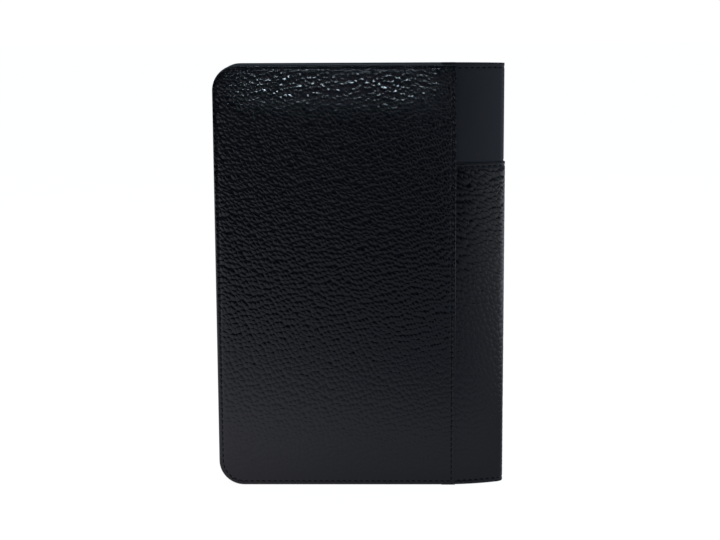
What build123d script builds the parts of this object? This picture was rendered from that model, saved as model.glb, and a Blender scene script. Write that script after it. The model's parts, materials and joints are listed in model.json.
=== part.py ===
from build123d import *
import math
import os

# Book-style leather case for a small tablet, closed and standing on its bottom edge.
# +Z is up, the spine is on +X, the back cover faces -Y and the front cover faces +Y.
# Covers are built as layers measured by their distance from the middle plane Y = 0.

# ---- Driving dimensions, in millimetres ----
HEIGHT = 210.0                 # bottom edge to top edge
WIDTH = 142.5                  # free edge to the nose of the spine
DEPTH = 20.0                   # over both closed covers
CORNER_RADIUS = 12.5           # free-edge corners of the covers

PANEL_LEATHER = 0.9            # grained leather of the covers
FOAM = 0.5                     # thin padding behind the panel leather
BOARD = 1.2                    # stiff board inside each cover
LINING = 0.4                   # suede lining
TURNED_EDGE = 0.9              # leather turned over the board's edges

TABLET_SPACE = (114.4, 10.2, 197.2)    # room for the tablet in X, Y and Z
HOLDER_WALL = 1.2              # side and bottom walls of the holder
HOLDER_MARGIN = 1.65           # from the cover's free edge to the holder
HOLDER_BASE = 5.2              # height of the holder above the case's bottom edge
PORT_GAP = (-36.0, 14.0)       # open stretch of the bottom wall, in X
BUTTON_GAP = (140.0, 190.0)    # open stretch of the free-edge wall, in Z
BEZEL_STIFFENER = 0.6
BEZEL_LEATHER = 0.6
WINDOW = (96.0, 152.0)         # screen window in the bezel
WINDOW_RADIUS = 3.0
BEZEL_LINE = 0.9               # bezel edge to its outer stitch line
WINDOW_LINE = 1.5              # window edge to its stitch line

FLAP_LAYERS = (0.3, 0.4, 0.6)  # lining, stiffener and leather of the top flap
FLAP_GAP = 0.3                 # clearance around the closed flap
FLAP_SET_BACK = 0.2            # flap's front edge behind the bezel's face
FLAP_CORNER = 3.0              # front corners of the flap

SEAM_X = 47.0                  # edge of the panel leather, where it overlaps the spine
TAB_WIDTH = 6.8                # spine leather tucked under the panel leather
SEAM_Z = 162.2                 # top of the grained leather on the spine
SPINE_SHOULDER = (40.25, 9.15)  # where the spine's curve leaves the cover, in X and |Y|
SPINE_RADIUS = 77.35           # curve of each half of the spine
NOSE_START_X = 66.0            # where the curve gives way to the nose
SPINE_OVERLAY = 0.65           # grained leather on the lower spine
SPINE_BASE = 0.65              # smooth leather over the full height
SPINE_LINING = 0.45
SPLIT = 0.3                    # free gap at each fold line

THREAD_WIDTH = 0.6
THREAD_INSET = 2.0             # stitch line to leather edge
SEAM_LINE_SHIFT = 0.1          # seam stitching set nearer to the leather's edge
THREAD_DEPTH = 0.4             # depth of the groove pressed by the stitches
THREAD_SUNK = 0.1              # thread surface below the leather surface

POCKET_SHEET = 0.5
POCKET_ROOM = 0.6              # space behind the slip pocket
POCKET_BOX = (-66.0, 38.0, 6.0, 204.0)   # low and high X, low and high Z
POCKET_HEM = 3.0
POCKET_LINE = 1.2              # pocket edge to its stitch line
CARD_SHEET = 0.4
CARD_BOX = (-59.0, 33.0, 84.0) # low X, high X, low Z of the card slots
CARD_TOPS = (172.0, 158.0, 144.0)

MAGNET = (4.0, 15.0)           # width and height of the closing magnets
MAGNET_X = -64.7
MAGNET_Z = (60.0, 150.0)

# ---- Worked out from the driving dimensions ----
FREE_X = -WIDTH / 2
NOSE_X = WIDTH / 2
OUTER = DEPTH / 2
UNDER_LEATHER = OUTER - PANEL_LEATHER
UNDER_FOAM = UNDER_LEATHER - FOAM
UNDER_BOARD = UNDER_FOAM - BOARD
INNER = UNDER_BOARD - LINING
TAB_X = SEAM_X - TAB_WIDTH
SEAM_THREAD_X = SEAM_X - THREAD_INSET + SEAM_LINE_SHIFT

HOLDER_FREE_X = FREE_X + HOLDER_MARGIN
TABLET_FREE_X = HOLDER_FREE_X + HOLDER_WALL
TABLET_SPINE_X = TABLET_FREE_X + TABLET_SPACE[0]
HOLDER_SPINE_X = SEAM_X
TABLET_FRONT_Y = -INNER + TABLET_SPACE[1]
TABLET_LOW_Z = HOLDER_BASE + HOLDER_WALL
HOLDER_TOP_Z = TABLET_LOW_Z + TABLET_SPACE[2]
BEZEL_FRONT_Y = TABLET_FRONT_Y + BEZEL_STIFFENER + BEZEL_LEATHER
WINDOW_X = (TABLET_FREE_X + TABLET_SPINE_X) / 2
WINDOW_Z = (TABLET_LOW_Z + HOLDER_TOP_Z) / 2

POCKET_INNER_Y = INNER - POCKET_ROOM
POCKET_FACE_Y = POCKET_INNER_Y - POCKET_SHEET

BACK, FRONT = -1, 1            # sides of the middle plane


# ---- Shared shapes ----
def outline(x_low, x_high, z_low, z_high, corner=0.0):
    """Rectangle in X and Z, with its two free-edge corners rounded."""
    middle = Pos((x_low + x_high) / 2, (z_low + z_high) / 2)
    face = middle * Rectangle(x_high - x_low, z_high - z_low)
    if corner:
        face = fillet(face.vertices().sort_by(Axis.X)[:2], corner)
    return face


def slab(face, y_one, y_other):
    """Plate with an X-Z outline, filling the depth between two Y values."""
    y_high = max(y_one, y_other)
    return extrude(Plane.XZ.offset(-y_high) * face, amount=abs(y_one - y_other))


def cover_outline(inset, x_high=SEAM_X):
    """Outline of a cover, brought in from its three free edges."""
    radius = CORNER_RADIUS - inset
    return outline(FREE_X + inset, x_high, inset, HEIGHT - inset, radius)


def thread_band(centre_inset, x_high):
    """U-shaped stitch line along the three free edges of a cover."""
    wide = cover_outline(centre_inset - THREAD_WIDTH / 2, x_high)
    return wide - cover_outline(centre_inset + THREAD_WIDTH / 2, x_high)


def frame_band(x_low, x_high, z_low, z_high, width):
    """Closed rectangular line of the given width, inside the stated box."""
    inner = outline(x_low + width, x_high - width, z_low + width, z_high - width)
    return outline(x_low, x_high, z_low, z_high) - inner


def magnet_faces():
    """Outlines of the closing magnets near the free edge."""
    bars = [Pos(MAGNET_X, z) * Rectangle(*MAGNET) for z in MAGNET_Z]
    return bars[0] + bars[1:]


# ---- Covers: the same layers on both sides ----
def panel_threads(side):
    """Edge and seam stitch lines of one panel, and the grooves that they lie in."""
    edge = thread_band(THREAD_INSET, SEAM_THREAD_X - THREAD_WIDTH / 2)
    low = THREAD_INSET - THREAD_WIDTH / 2
    seam = outline(SEAM_THREAD_X - THREAD_WIDTH / 2, SEAM_THREAD_X + THREAD_WIDTH / 2, low, HEIGHT - low)
    bottom = side * (OUTER - THREAD_DEPTH)
    top = side * (OUTER - THREAD_SUNK)
    threads = [slab(face, bottom, top) for face in (edge, seam)]
    grooves = [slab(face, bottom, side * OUTER) for face in (edge, seam)]
    return threads, grooves


def cover_parts(side, name):
    """Leather, padding, board, lining, tucked spine leather and stitching of one cover."""
    threads, grooves = panel_threads(side)
    sheet = slab(cover_outline(0.0), side * UNDER_LEATHER, side * OUTER)
    rim_face = cover_outline(0.0, TAB_X) - cover_outline(TURNED_EDGE, TAB_X)
    rim = slab(rim_face, side * INNER, side * UNDER_LEATHER)
    filling = cover_outline(TURNED_EDGE, TAB_X)
    tab = outline(TAB_X, SEAM_X, 0.0, HEIGHT)
    lining = cover_outline(TURNED_EDGE)
    return {
        f"{name}_panel_leather": sheet + rim - grooves[0] - grooves[1],
        f"{name}_foam": slab(filling, side * UNDER_FOAM, side * UNDER_LEATHER),
        f"{name}_board": slab(filling, side * UNDER_BOARD, side * UNDER_FOAM),
        f"{name}_lining": slab(lining, side * INNER, side * UNDER_BOARD),
        f"{name}_spine_tab": slab(tab, side * UNDER_BOARD, side * UNDER_LEATHER),
        f"{name}_edge_stitching": threads[0],
        f"{name}_seam_stitching": threads[1],
    }


# ---- Tablet holder on the inside of the back cover ----
def holder_parts():
    """Walls, window bezel, magnets and stitching that hold the tablet."""
    def wall(x_low, x_high, z_low, z_high):
        return slab(outline(x_low, x_high, z_low, z_high), -INNER, TABLET_FRONT_Y)

    window = Pos(WINDOW_X, WINDOW_Z) * RectangleRounded(*WINDOW, WINDOW_RADIUS)
    border = outline(HOLDER_FREE_X, HOLDER_SPINE_X, HOLDER_BASE, HOLDER_TOP_Z) - window
    magnets = slab(magnet_faces(), TABLET_FRONT_Y, TABLET_FRONT_Y + BEZEL_STIFFENER)
    stiffener = slab(border, TABLET_FRONT_Y, TABLET_FRONT_Y + BEZEL_STIFFENER)

    outer_line = frame_band(HOLDER_FREE_X + BEZEL_LINE, HOLDER_SPINE_X - BEZEL_LINE,
                            HOLDER_BASE + BEZEL_LINE, HOLDER_TOP_Z - BEZEL_LINE, THREAD_WIDTH)
    reach = WINDOW_LINE + THREAD_WIDTH
    inner_line = frame_band(WINDOW_X - WINDOW[0] / 2 - reach, WINDOW_X + WINDOW[0] / 2 + reach,
                            WINDOW_Z - WINDOW[1] / 2 - reach, WINDOW_Z + WINDOW[1] / 2 + reach,
                            THREAD_WIDTH)
    lines = outer_line + inner_line
    groove_y = BEZEL_FRONT_Y - THREAD_DEPTH
    leather = slab(border, TABLET_FRONT_Y + BEZEL_STIFFENER, BEZEL_FRONT_Y)
    return {
        "holder_side_wall_lower": wall(HOLDER_FREE_X, TABLET_FREE_X, HOLDER_BASE, BUTTON_GAP[0]),
        "holder_side_wall_upper": wall(HOLDER_FREE_X, TABLET_FREE_X, BUTTON_GAP[1], HOLDER_TOP_Z),
        "holder_spine_wall": wall(TABLET_SPINE_X, HOLDER_SPINE_X, HOLDER_BASE, HOLDER_TOP_Z),
        "holder_bottom_wall_outer": wall(TABLET_FREE_X, PORT_GAP[0], HOLDER_BASE, TABLET_LOW_Z),
        "holder_bottom_wall_inner": wall(PORT_GAP[1], TABLET_SPINE_X, HOLDER_BASE, TABLET_LOW_Z),
        "bezel_stiffener": stiffener - magnets,
        "bezel_leather": leather - slab(lines, groove_y, BEZEL_FRONT_Y),
        "bezel_stitching": slab(lines, groove_y, BEZEL_FRONT_Y - THREAD_SUNK),
        "bezel_magnets": magnets,
    }


# ---- Flap over the mouth of the holder ----
def flap_parts():
    """Lining, stiffener and leather of the flap, stacked upwards."""
    over_mouth = Pos((TABLET_FREE_X + TABLET_SPINE_X) / 2, 0)
    low_y = -INNER + FLAP_GAP
    high_y = BEZEL_FRONT_Y - FLAP_SET_BACK
    width = TABLET_SPACE[0] - 2 * FLAP_GAP
    sheet = Pos(0, (low_y + high_y) / 2) * Rectangle(width, high_y - low_y)
    sheet = over_mouth * fillet(sheet.vertices().sort_by(Axis.Y)[-2:], FLAP_CORNER)
    parts = {}
    z = HOLDER_TOP_Z + FLAP_GAP
    for name, thickness in zip(("lining", "stiffener", "leather"), FLAP_LAYERS):
        parts[f"top_flap_{name}"] = extrude(Pos(0, 0, z) * sheet, amount=thickness)
        z += thickness
    return parts


# ---- Spine ----
def spine_points(depth):
    """Start, middle and end of the curve, and the nose tip, of a surface at one depth."""
    centre = Vector(SPINE_SHOULDER[0], SPINE_RADIUS - SPINE_SHOULDER[1])
    radius = SPINE_RADIUS - depth

    def on_curve(angle):
        return centre + Vector(math.sin(angle), -math.cos(angle)) * radius

    start = on_curve(math.asin((SEAM_X + SPLIT - centre.X) / radius))
    nose_angle = math.asin((NOSE_START_X - centre.X) / SPINE_RADIUS)
    corner_outer = centre + Vector(math.sin(nose_angle), -math.cos(nose_angle)) * SPINE_RADIUS
    along = (Vector(NOSE_X, -SPLIT / 2) - corner_outer).normalized()
    inward_curve = Vector(-math.sin(nose_angle), math.cos(nose_angle))
    inward_nose = Vector(-along.Y, along.X)
    mitre = (inward_curve + inward_nose) * (1 / (1 + inward_curve.dot(inward_nose)))
    corner = corner_outer + mitre * depth
    tip = corner + along * ((-SPLIT / 2 - corner.Y) / along.Y)
    middle = on_curve((math.asin((SEAM_X - centre.X) / radius) + nose_angle) / 2)
    return start, middle, corner, tip


def spine_layer(depth_outer, depth_inner, z_low, z_high):
    """Back half of one layer of the spine, between two depths below its outer surface."""
    start_a, middle_a, corner_a, tip_a = spine_points(depth_outer)
    start_b, middle_b, corner_b, tip_b = spine_points(depth_inner)
    edges = [
        ThreePointArc(start_a, middle_a, corner_a),
        Line(corner_a, tip_a),
        Line(tip_a, tip_b),
        Line(tip_b, corner_b),
        ThreePointArc(corner_b, middle_b, start_b),
        Line(start_b, start_a),
    ]
    face = Pos(0, 0, z_low) * make_face(edges)
    return extrude(face, amount=z_high - z_low, dir=(0, 0, 1))


def spine_thread(z, surface_depth):
    """Stitch line around half the spine at height z, and the groove that it lies in."""
    low, high = z - THREAD_WIDTH / 2, z + THREAD_WIDTH / 2
    bottom = surface_depth + THREAD_DEPTH
    thread = spine_layer(surface_depth + THREAD_SUNK, bottom, low, high)
    return thread, spine_layer(surface_depth, bottom, low, high)


def spine_parts(side, name):
    """Overlay, base leather, lining and stitching of one half of the spine."""
    base_depth = SPINE_OVERLAY + SPINE_BASE
    overlay = spine_layer(0.0, SPINE_OVERLAY, 0.0, SEAM_Z)
    base = spine_layer(SPINE_OVERLAY, base_depth, 0.0, HEIGHT)
    lining = spine_layer(base_depth, base_depth + SPINE_LINING, TURNED_EDGE, HEIGHT - TURNED_EDGE)
    bottom_thread, bottom_groove = spine_thread(THREAD_INSET, 0.0)
    seam_thread, seam_groove = spine_thread(SEAM_Z - THREAD_INSET, 0.0)
    top_thread, top_groove = spine_thread(HEIGHT - THREAD_INSET, SPINE_OVERLAY)
    parts = {
        f"spine_{name}_overlay": overlay - bottom_groove - seam_groove,
        f"spine_{name}_base": base - top_groove,
        f"spine_{name}_lining": lining,
        f"spine_{name}_stitching": Compound(children=[bottom_thread, seam_thread, top_thread]),
    }
    if side == FRONT:
        parts = {node: mirror(shape, about=Plane.XZ) for node, shape in parts.items()}
    return parts


# ---- Pockets on the inside of the front cover ----
def pocket_parts():
    """Slip pocket open towards the spine, three shingled card slots and their stitching."""
    x_low, x_high, z_low, z_high = POCKET_BOX
    sheet = slab(outline(*POCKET_BOX), POCKET_FACE_Y, POCKET_INNER_Y)
    mouth = outline(x_low + POCKET_HEM, x_high, z_low + POCKET_HEM, z_high - POCKET_HEM)
    hem = slab(outline(*POCKET_BOX) - mouth, POCKET_INNER_Y, INNER)

    near = POCKET_LINE
    far = POCKET_LINE + THREAD_WIDTH
    wide = outline(x_low + near, x_high, z_low + near, z_high - near)
    line = wide - outline(x_low + far, x_high, z_low + far, z_high - far)
    parts = {
        "slip_pocket": sheet + hem - slab(line, POCKET_FACE_Y, POCKET_FACE_Y + THREAD_DEPTH),
        "pocket_stitching": slab(line, POCKET_FACE_Y + THREAD_SUNK, POCKET_FACE_Y + THREAD_DEPTH),
    }
    y = POCKET_FACE_Y
    for number, top in enumerate(CARD_TOPS, start=1):
        face = outline(CARD_BOX[0], CARD_BOX[1], CARD_BOX[2], top)
        parts[f"card_slot_{number}"] = slab(face, y - CARD_SHEET, y)
        y -= CARD_SHEET
    return parts


def all_parts():
    """Every node of the case by name."""
    nodes = {}
    nodes.update(cover_parts(BACK, "back"))
    nodes.update(cover_parts(FRONT, "front"))
    nodes.update(holder_parts())
    nodes.update(flap_parts())
    nodes.update(spine_parts(BACK, "back"))
    nodes.update(spine_parts(FRONT, "front"))
    nodes.update(pocket_parts())
    magnets = slab(magnet_faces(), UNDER_BOARD, UNDER_FOAM)
    nodes["front_magnets"] = magnets
    nodes["front_board"] = nodes["front_board"] - magnets
    return nodes


os.makedirs("parts", exist_ok=True)
for node_name, node_shape in all_parts().items():
    export_step(node_shape, f"parts/{node_name}.step")
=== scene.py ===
"""Looks of the book-style leather tablet case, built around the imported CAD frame."""
import json
import math

import bmesh
import bpy
import numpy as np
from mathutils import Matrix, Vector


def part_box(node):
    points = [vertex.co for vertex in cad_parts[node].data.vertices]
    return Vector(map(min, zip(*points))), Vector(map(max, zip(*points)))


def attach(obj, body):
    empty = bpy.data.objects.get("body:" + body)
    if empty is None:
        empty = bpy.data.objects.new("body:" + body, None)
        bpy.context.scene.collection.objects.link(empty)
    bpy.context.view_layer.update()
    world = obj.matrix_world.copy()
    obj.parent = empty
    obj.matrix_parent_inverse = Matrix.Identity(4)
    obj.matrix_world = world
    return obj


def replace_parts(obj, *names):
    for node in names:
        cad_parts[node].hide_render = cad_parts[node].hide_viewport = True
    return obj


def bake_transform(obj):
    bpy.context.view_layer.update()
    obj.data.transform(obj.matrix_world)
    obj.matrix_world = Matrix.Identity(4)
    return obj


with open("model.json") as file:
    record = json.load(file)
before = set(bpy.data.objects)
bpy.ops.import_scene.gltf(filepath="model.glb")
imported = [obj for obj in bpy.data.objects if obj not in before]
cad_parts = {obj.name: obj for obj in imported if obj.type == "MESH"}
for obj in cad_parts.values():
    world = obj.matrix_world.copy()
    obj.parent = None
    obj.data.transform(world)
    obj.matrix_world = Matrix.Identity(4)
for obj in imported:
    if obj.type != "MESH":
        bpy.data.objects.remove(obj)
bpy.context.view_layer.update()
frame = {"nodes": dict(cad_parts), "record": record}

# ---- Sizes, in millimetres ----
MM = 0.001


def box_mm(node):
    """Lowest and highest corner of a CAD node, in millimetres."""
    low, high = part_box(node)
    return np.array(low) / MM, np.array(high) / MM


PANEL_LOW, PANEL_HIGH = box_mm("back_panel_leather")
FREE_X, SEAM_X = PANEL_LOW[0], PANEL_HIGH[0]
HEIGHT = PANEL_HIGH[2]
OUTER = -PANEL_LOW[1]  # outer face of each cover, in |Y|
INNER = -PANEL_HIGH[1]  # inner face of each cover, in |Y|
UNDER_LEATHER = -box_mm("back_foam")[0][1]  # back of the panel leather, in |Y|
NOSE_X, _, SPINE_SEAM_Z = box_mm("spine_back_overlay")[1]
TAB_X = box_mm("back_spine_tab")[0][0]

CORNER_RADIUS = 12.5
EDGE_ROLL = 1.0  # radius of the leather rolled over the board's edge
RAW_EDGE = 0.28  # softened raw edge at the seam
TURNED_EDGE = 0.9

NOSE_RADIUS = 4.0
SPINE_RADIUS = 77.35
SHOULDER = (40.25, 9.15)  # where the spine's curve starts, in X and |Y|
NOSE_ANGLE = math.asin((NOSE_X - NOSE_RADIUS - SHOULDER[0]) / (SPINE_RADIUS - NOSE_RADIUS))
SPINE_OVERLAY = 0.65
SPINE_BASE = 0.65
SPINE_LINING = 0.45
SPINE_CUT_X = 57.0  # the spine's sheets are cut here, in the middle of each stiff half

STITCH_INSET = 2.0
STITCH_PITCH = 2.9
STITCH_LENGTH = 2.35
THREAD_RADIUS = 0.24
STITCH_PROUD = 0.04  # how far a panel's stitches stand out of their needle line
STITCH_RISE = (-0.42, -0.12, 0.05, 0.12, 0.14, 0.12, 0.05, -0.12, -0.42)
STITCH_GIRTH = (0.75, 0.95, 1.0, 1.02, 1.03, 1.02, 1.0, 0.95, 0.75)
STITCH_SLANT = 0.09  # each end of a stitch lies this far off its line
STITCH_FLATNESS = 0.85
TWIST_PER_MM = 5.0
LINE_STEPS = (-0.9, -0.55, -0.25, 0.0, 0.25, 0.55, 0.9)  # points across a stitch line or crease

BACK, FRONT = -1, 1  # sign of Y on each side

SLOT_OF = {entry["node"]: entry["material_slot"] for entry in frame["record"]["subparts"]}


# ---- Node helpers ----
def feed(tree, target, inputs):
    """Sets or links a node's inputs, by name or number."""
    for key, value in dict(inputs).items():
        if isinstance(value, bpy.types.NodeSocket):
            tree.links.new(value, target.inputs[key])
        else:
            target.inputs[key].default_value = value


def node(tree, kind, inputs=(), **settings):
    """New node with its settings made and its inputs set or linked."""
    made = tree.nodes.new(kind)
    for key, value in settings.items():
        setattr(made, key, value)
    feed(tree, made, inputs)
    return made


def maths(tree, operation, a, b=0.0, clamp=False):
    """Result of one arithmetic step."""
    return node(tree, "ShaderNodeMath", {0: a, 1: b}, operation=operation, use_clamp=clamp).outputs[0]


def times(tree, a, b):
    """Product of two values."""
    return maths(tree, "MULTIPLY", a, b)


def ramp(tree, value, low, high, to_low=0.0, to_high=1.0):
    """Smooth step of a value from one range to another."""
    made = node(tree, "ShaderNodeMapRange", {0: value, 1: low, 2: high, 3: to_low, 4: to_high},
                interpolation_type="SMOOTHSTEP")
    return made.outputs[0]


def stretch(tree, vector, x, y, z=1.0):
    """Coordinates scaled along each axis."""
    return node(tree, "ShaderNodeVectorMath", {0: vector, 1: (x, y, z)}, operation="MULTIPLY").outputs[0]


def noise(tree, vector, scale, detail=2.0, roughness=0.5):
    """Noise value at the given scale."""
    made = node(tree, "ShaderNodeTexNoise",
                {"Vector": vector, "Scale": scale, "Detail": detail, "Roughness": roughness})
    return made.outputs["Fac"]


def grain_cells(tree, coords, feature):
    """Distance in a flat pattern of irregular cells, each about one unit across."""
    return node(tree, "ShaderNodeTexVoronoi", {"Vector": coords, "Scale": 1.0, "Randomness": 0.68},
                feature=feature, voronoi_dimensions="2D").outputs["Distance"]


def pebbles(tree, coords):
    """Domed height of the grain, and 0 to 1 from each crease inward, for coordinates in pebbles."""
    swirl = node(tree, "ShaderNodeTexNoise", {"Vector": coords, "Scale": 0.4, "Detail": 1.0})
    centred = node(tree, "ShaderNodeVectorMath", {0: swirl.outputs["Color"], 1: (0.5, 0.5, 0.5)},
                   operation="SUBTRACT").outputs[0]
    wander = stretch(tree, centred, 1.2, 1.2, 0.0)
    moved = node(tree, "ShaderNodeVectorMath", {0: coords, 1: wander}, operation="ADD").outputs[0]
    edges = grain_cells(tree, moved, "DISTANCE_TO_EDGE")
    away = grain_cells(tree, moved, "F1")
    fall = times(tree, times(tree, away, away), 1.6)
    dome = maths(tree, "SUBTRACT", 1.0, fall)
    dome = times(tree, dome, ramp(tree, edges, 0.0, 0.18, 0.7, 1.0))
    folds = noise(tree, stretch(tree, moved, 0.25, 0.5), 1.0, 1.0)
    fold = ramp(tree, maths(tree, "ABSOLUTE", maths(tree, "SUBTRACT", folds, 0.5)), 0.0, 0.04, 0.85, 1.0)
    return times(tree, dome, fold), ramp(tree, edges, 0.0, 0.12)


# ---- Mesh helpers ----
def new_object(name, data):
    """New object in the scene."""
    made = bpy.data.objects.new(name, data)
    bpy.context.scene.collection.objects.link(made)
    return made


def new_piece(name, points_mm, faces, material, smooth_angle=50.0):
    """Mesh object from points in millimetres."""
    mesh = bpy.data.meshes.new(name)
    mesh.from_pydata((np.asarray(points_mm) * MM).tolist(), [], faces)
    mesh.update()
    mesh.polygons.foreach_set("use_smooth", [True] * len(mesh.polygons))
    mesh.set_sharp_from_angle(angle=math.radians(smooth_angle))
    piece = new_object(name, mesh)
    mesh.materials.append(material)
    return piece


def store(piece, name, values, kind="FLOAT"):
    """Per-point attribute on a piece."""
    attribute = piece.data.attributes.new(name, kind, "POINT")
    key = "vector" if kind == "FLOAT_VECTOR" else "value"
    attribute.data.foreach_set(key, np.asarray(values, np.float32).ravel())


def grid_faces(rows, columns, flip=False):
    """Quads of a grid whose points run along each row in turn."""
    index = np.arange(rows * columns).reshape(rows, columns)
    quads = np.stack([index[:-1, :-1], index[:-1, 1:], index[1:, 1:], index[1:, :-1]], -1).reshape(-1, 4)
    return (quads[:, ::-1] if flip else quads).tolist()


def grid_border(rows, columns):
    """Indices round the border of a grid of points."""
    index = np.arange(rows * columns).reshape(rows, columns)
    return np.concatenate([index[0, :-1], index[:-1, -1], index[-1, :0:-1], index[:0:-1, 0]])


def lines_between(low, high, step, fine_low=(), fine_high=()):
    """Grid lines with a regular step, and finer ones given as distances from either end."""
    start = low + max(fine_low, default=0.0)
    stop = high - max(fine_high, default=0.0)
    middle = np.linspace(start, stop, int(round((stop - start) / step)) + 1)
    ends = [low + f for f in fine_low] + [high - f for f in fine_high]
    return np.unique(np.round(np.concatenate([middle, ends]), 4))


GRAIN_LEVEL = 0.7  # height on a pebble's dome that stays at the surface


def raise_grain(piece, height_mm):
    """Moves the surface by the domes of the grain, where the piece's grain_mask says."""
    tree = bpy.data.node_groups.new(piece.name + "_grain", "GeometryNodeTree")
    for end in ("INPUT", "OUTPUT"):
        tree.interface.new_socket("Geometry", in_out=end, socket_type="NodeSocketGeometry")
    source = tree.nodes.new("NodeGroupInput")
    result = tree.nodes.new("NodeGroupOutput")
    coords = node(tree, "GeometryNodeInputNamedAttribute", {"Name": "grain"}, data_type="FLOAT_VECTOR")
    mask = node(tree, "GeometryNodeInputNamedAttribute", {"Name": "grain_mask"}, data_type="FLOAT")
    height = maths(tree, "SUBTRACT", pebbles(tree, coords.outputs[0])[0], GRAIN_LEVEL)
    height = times(tree, height, mask.outputs[0])
    height = times(tree, height, height_mm * MM)
    normal = node(tree, "GeometryNodeInputNormal").outputs[0]
    offset = node(tree, "ShaderNodeVectorMath", {0: normal, "Scale": height}, operation="SCALE").outputs[0]
    moved = node(tree, "GeometryNodeSetPosition", {"Geometry": source.outputs[0], "Offset": offset})
    tree.links.new(moved.outputs[0], result.inputs[0])
    modifier = piece.modifiers.new("grain", "NODES")
    modifier.node_group = tree
    bpy.context.view_layer.update()
    seen = piece.evaluated_get(bpy.context.evaluated_depsgraph_get())
    mesh = bpy.data.meshes.new_from_object(seen)
    piece.modifiers.clear()
    piece.data = mesh
    bpy.data.node_groups.remove(tree)


# ---- Materials ----
def material(look):
    """Material named after a function that gives the values of its shader's sockets."""
    made = bpy.data.materials.new(look.__name__)
    made.use_nodes = True
    tree = made.node_tree
    feed(tree, tree.nodes["Principled BSDF"], look(tree))
    return made


def on_object(tree):
    """Place on the object."""
    return node(tree, "ShaderNodeTexCoord").outputs["Object"]


def tint(tree, factor, dark, light):
    """Colour between two, by a factor."""
    made = node(tree, "ShaderNodeMix", {0: factor, 6: (*dark, 1), 7: (*light, 1)}, data_type="RGBA")
    return made.outputs[2]


def bump(tree, height, distance_mm, strength=1.0, normal=None):
    """Bump from a height, in millimetres."""
    inputs = {"Height": height, "Distance": distance_mm * MM, "Strength": strength}
    if normal:
        inputs["Normal"] = normal
    return node(tree, "ShaderNodeBump", inputs).outputs[0]


def grained_leather(tree):
    """Glossy black leather with a pebbled grain, following each piece's own grain coordinates."""
    coords = node(tree, "ShaderNodeAttribute", attribute_name="grain").outputs["Vector"]
    mask = node(tree, "ShaderNodeAttribute", attribute_name="grain_mask").outputs["Fac"]
    dome, rim = pebbles(tree, coords)
    height = times(tree, dome, ramp(tree, rim, 0.0, 1.0, 0.45, 1.0))
    tops = times(tree, height, mask)
    wear = ramp(tree, noise(tree, stretch(tree, coords, 0.05, 0.05), 1.0, 3.0), 0.3, 0.7, -0.04, 0.05)
    fine = noise(tree, coords, 9.0, 4.0, 0.6)
    pebbled = bump(tree, tops, 0.13)
    return {
        "Base Color": tint(tree, tops, (0.0016, 0.0019, 0.0026), (0.0042, 0.0050, 0.0066)),
        "Roughness": maths(tree, "ADD", ramp(tree, tops, 0.1, 0.9, 0.34, 0.23), wear),
        "Normal": bump(tree, fine, 0.012, 0.25, pebbled),
        "Coat Normal": pebbled,
        "Specular IOR Level": 0.0,
        "Coat Weight": 1.0,
        "Coat Roughness": 0.10,
    }


def smooth_leather(tree):
    """Satin black leather with fine pores."""
    place = on_object(tree)
    pores = node(tree, "ShaderNodeTexVoronoi", {"Vector": place, "Scale": 2600.0}).outputs["Distance"]
    cloud = noise(tree, place, 60.0, 4.0, 0.6)
    fine = noise(tree, place, 900.0, 4.0, 0.6)
    return {
        "Base Color": tint(tree, cloud, (0.0080, 0.0088, 0.0112), (0.0110, 0.0120, 0.0150)),
        "Roughness": ramp(tree, cloud, 0.3, 0.7, 0.44, 0.54),
        "Normal": bump(tree, fine, 0.02, 0.5, bump(tree, pores, 0.03, 0.35)),
    }


def suede(tree):
    """Charcoal microsuede lining with a short brushed nap."""
    place = on_object(tree)
    nap = noise(tree, place, 1500.0, 3.0, 0.7)
    brushed = noise(tree, stretch(tree, place, 1.0, 1.0, 0.35), 45.0, 3.0, 0.6)
    fine_part = times(tree, nap, 0.45)
    shade = maths(tree, "ADD", fine_part, times(tree, brushed, 0.55))
    return {
        "Base Color": tint(tree, shade, (0.030, 0.030, 0.034), (0.075, 0.075, 0.082)),
        "Roughness": ramp(tree, nap, 0.3, 0.7, 0.85, 0.98),
        "Normal": bump(tree, nap, 0.06, 0.6),
        "Sheen Weight": 0.35,
        "Sheen Roughness": 0.5,
        "Specular IOR Level": 0.2,
    }


def thread(tree):
    """Bonded black thread, twisted."""
    along = node(tree, "ShaderNodeAttribute", attribute_name="twist").outputs["Vector"]
    lay = node(tree, "ShaderNodeTexWave", {"Vector": along, "Scale": 1.0, "Distortion": 0.6, "Detail": 1.0},
               bands_direction="DIAGONAL").outputs["Fac"]
    return {
        "Base Color": tint(tree, lay, (0.0015, 0.0016, 0.0020), (0.0045, 0.0048, 0.0060)),
        "Roughness": ramp(tree, lay, 0.0, 1.0, 0.75, 0.55),
        "Normal": bump(tree, lay, 0.05, 0.8),
        "Specular IOR Level": 0.25,
    }


def board(tree):
    """Grey-brown book board with loose fibres."""
    place = on_object(tree)
    fibre = noise(tree, stretch(tree, place, 0.4, 1.0, 1.6), 900.0, 4.0, 0.7)
    return {
        "Base Color": tint(tree, fibre, (0.16, 0.14, 0.115), (0.34, 0.31, 0.26)),
        "Roughness": ramp(tree, fibre, 0.2, 0.8, 0.8, 0.95),
        "Normal": bump(tree, fibre, 0.05, 0.5),
    }


def foam(tree):
    """Dark closed-cell padding."""
    place = on_object(tree)
    cells = node(tree, "ShaderNodeTexVoronoi", {"Vector": place, "Scale": 2200.0}).outputs["Distance"]
    return {
        "Base Color": tint(tree, cells, (0.02, 0.02, 0.022), (0.06, 0.06, 0.064)),
        "Roughness": ramp(tree, cells, 0.0, 0.8, 0.8, 0.95),
        "Normal": bump(tree, cells, 0.08, 0.6),
    }


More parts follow.
